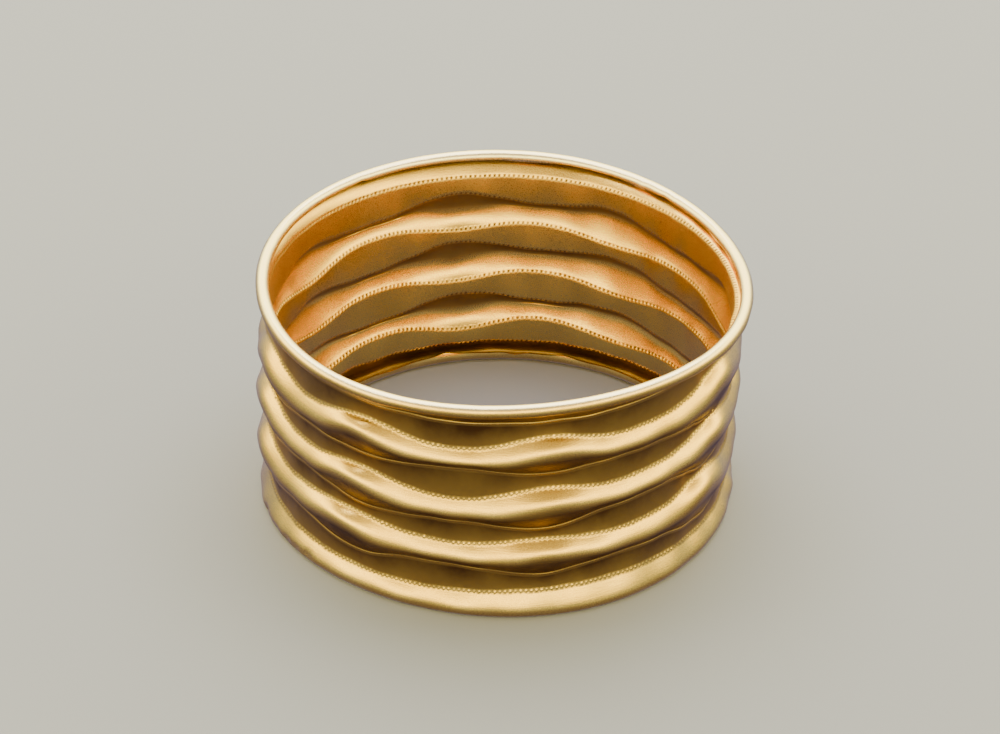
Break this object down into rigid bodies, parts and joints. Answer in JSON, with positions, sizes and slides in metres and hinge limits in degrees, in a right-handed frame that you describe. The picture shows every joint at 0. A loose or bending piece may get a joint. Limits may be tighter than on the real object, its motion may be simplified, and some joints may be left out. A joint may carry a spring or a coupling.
{
  "type": "ribbed sheet-gold armlet",
  "caption": "Wide round armlet of sheet gold with curled rims and hollow raised ribs that swell into lens shapes; worn on the upper arm.",
  "frame": {"origin": "middle of the armlet's round outline, on the flat it stands on", "axes": "+Z along the arm, from the curled foot to the curled rim; -Y is the side that faces the viewer"},
  "size_m": [0.0942, 0.0982, 0.0469],
  "materials": {
    "gold": "hand-worked gold, satin with fine scratches and old marks"
  },
  "bodies": {
    "root": {"armlet": "gold"}
  },
  "joints": []
}
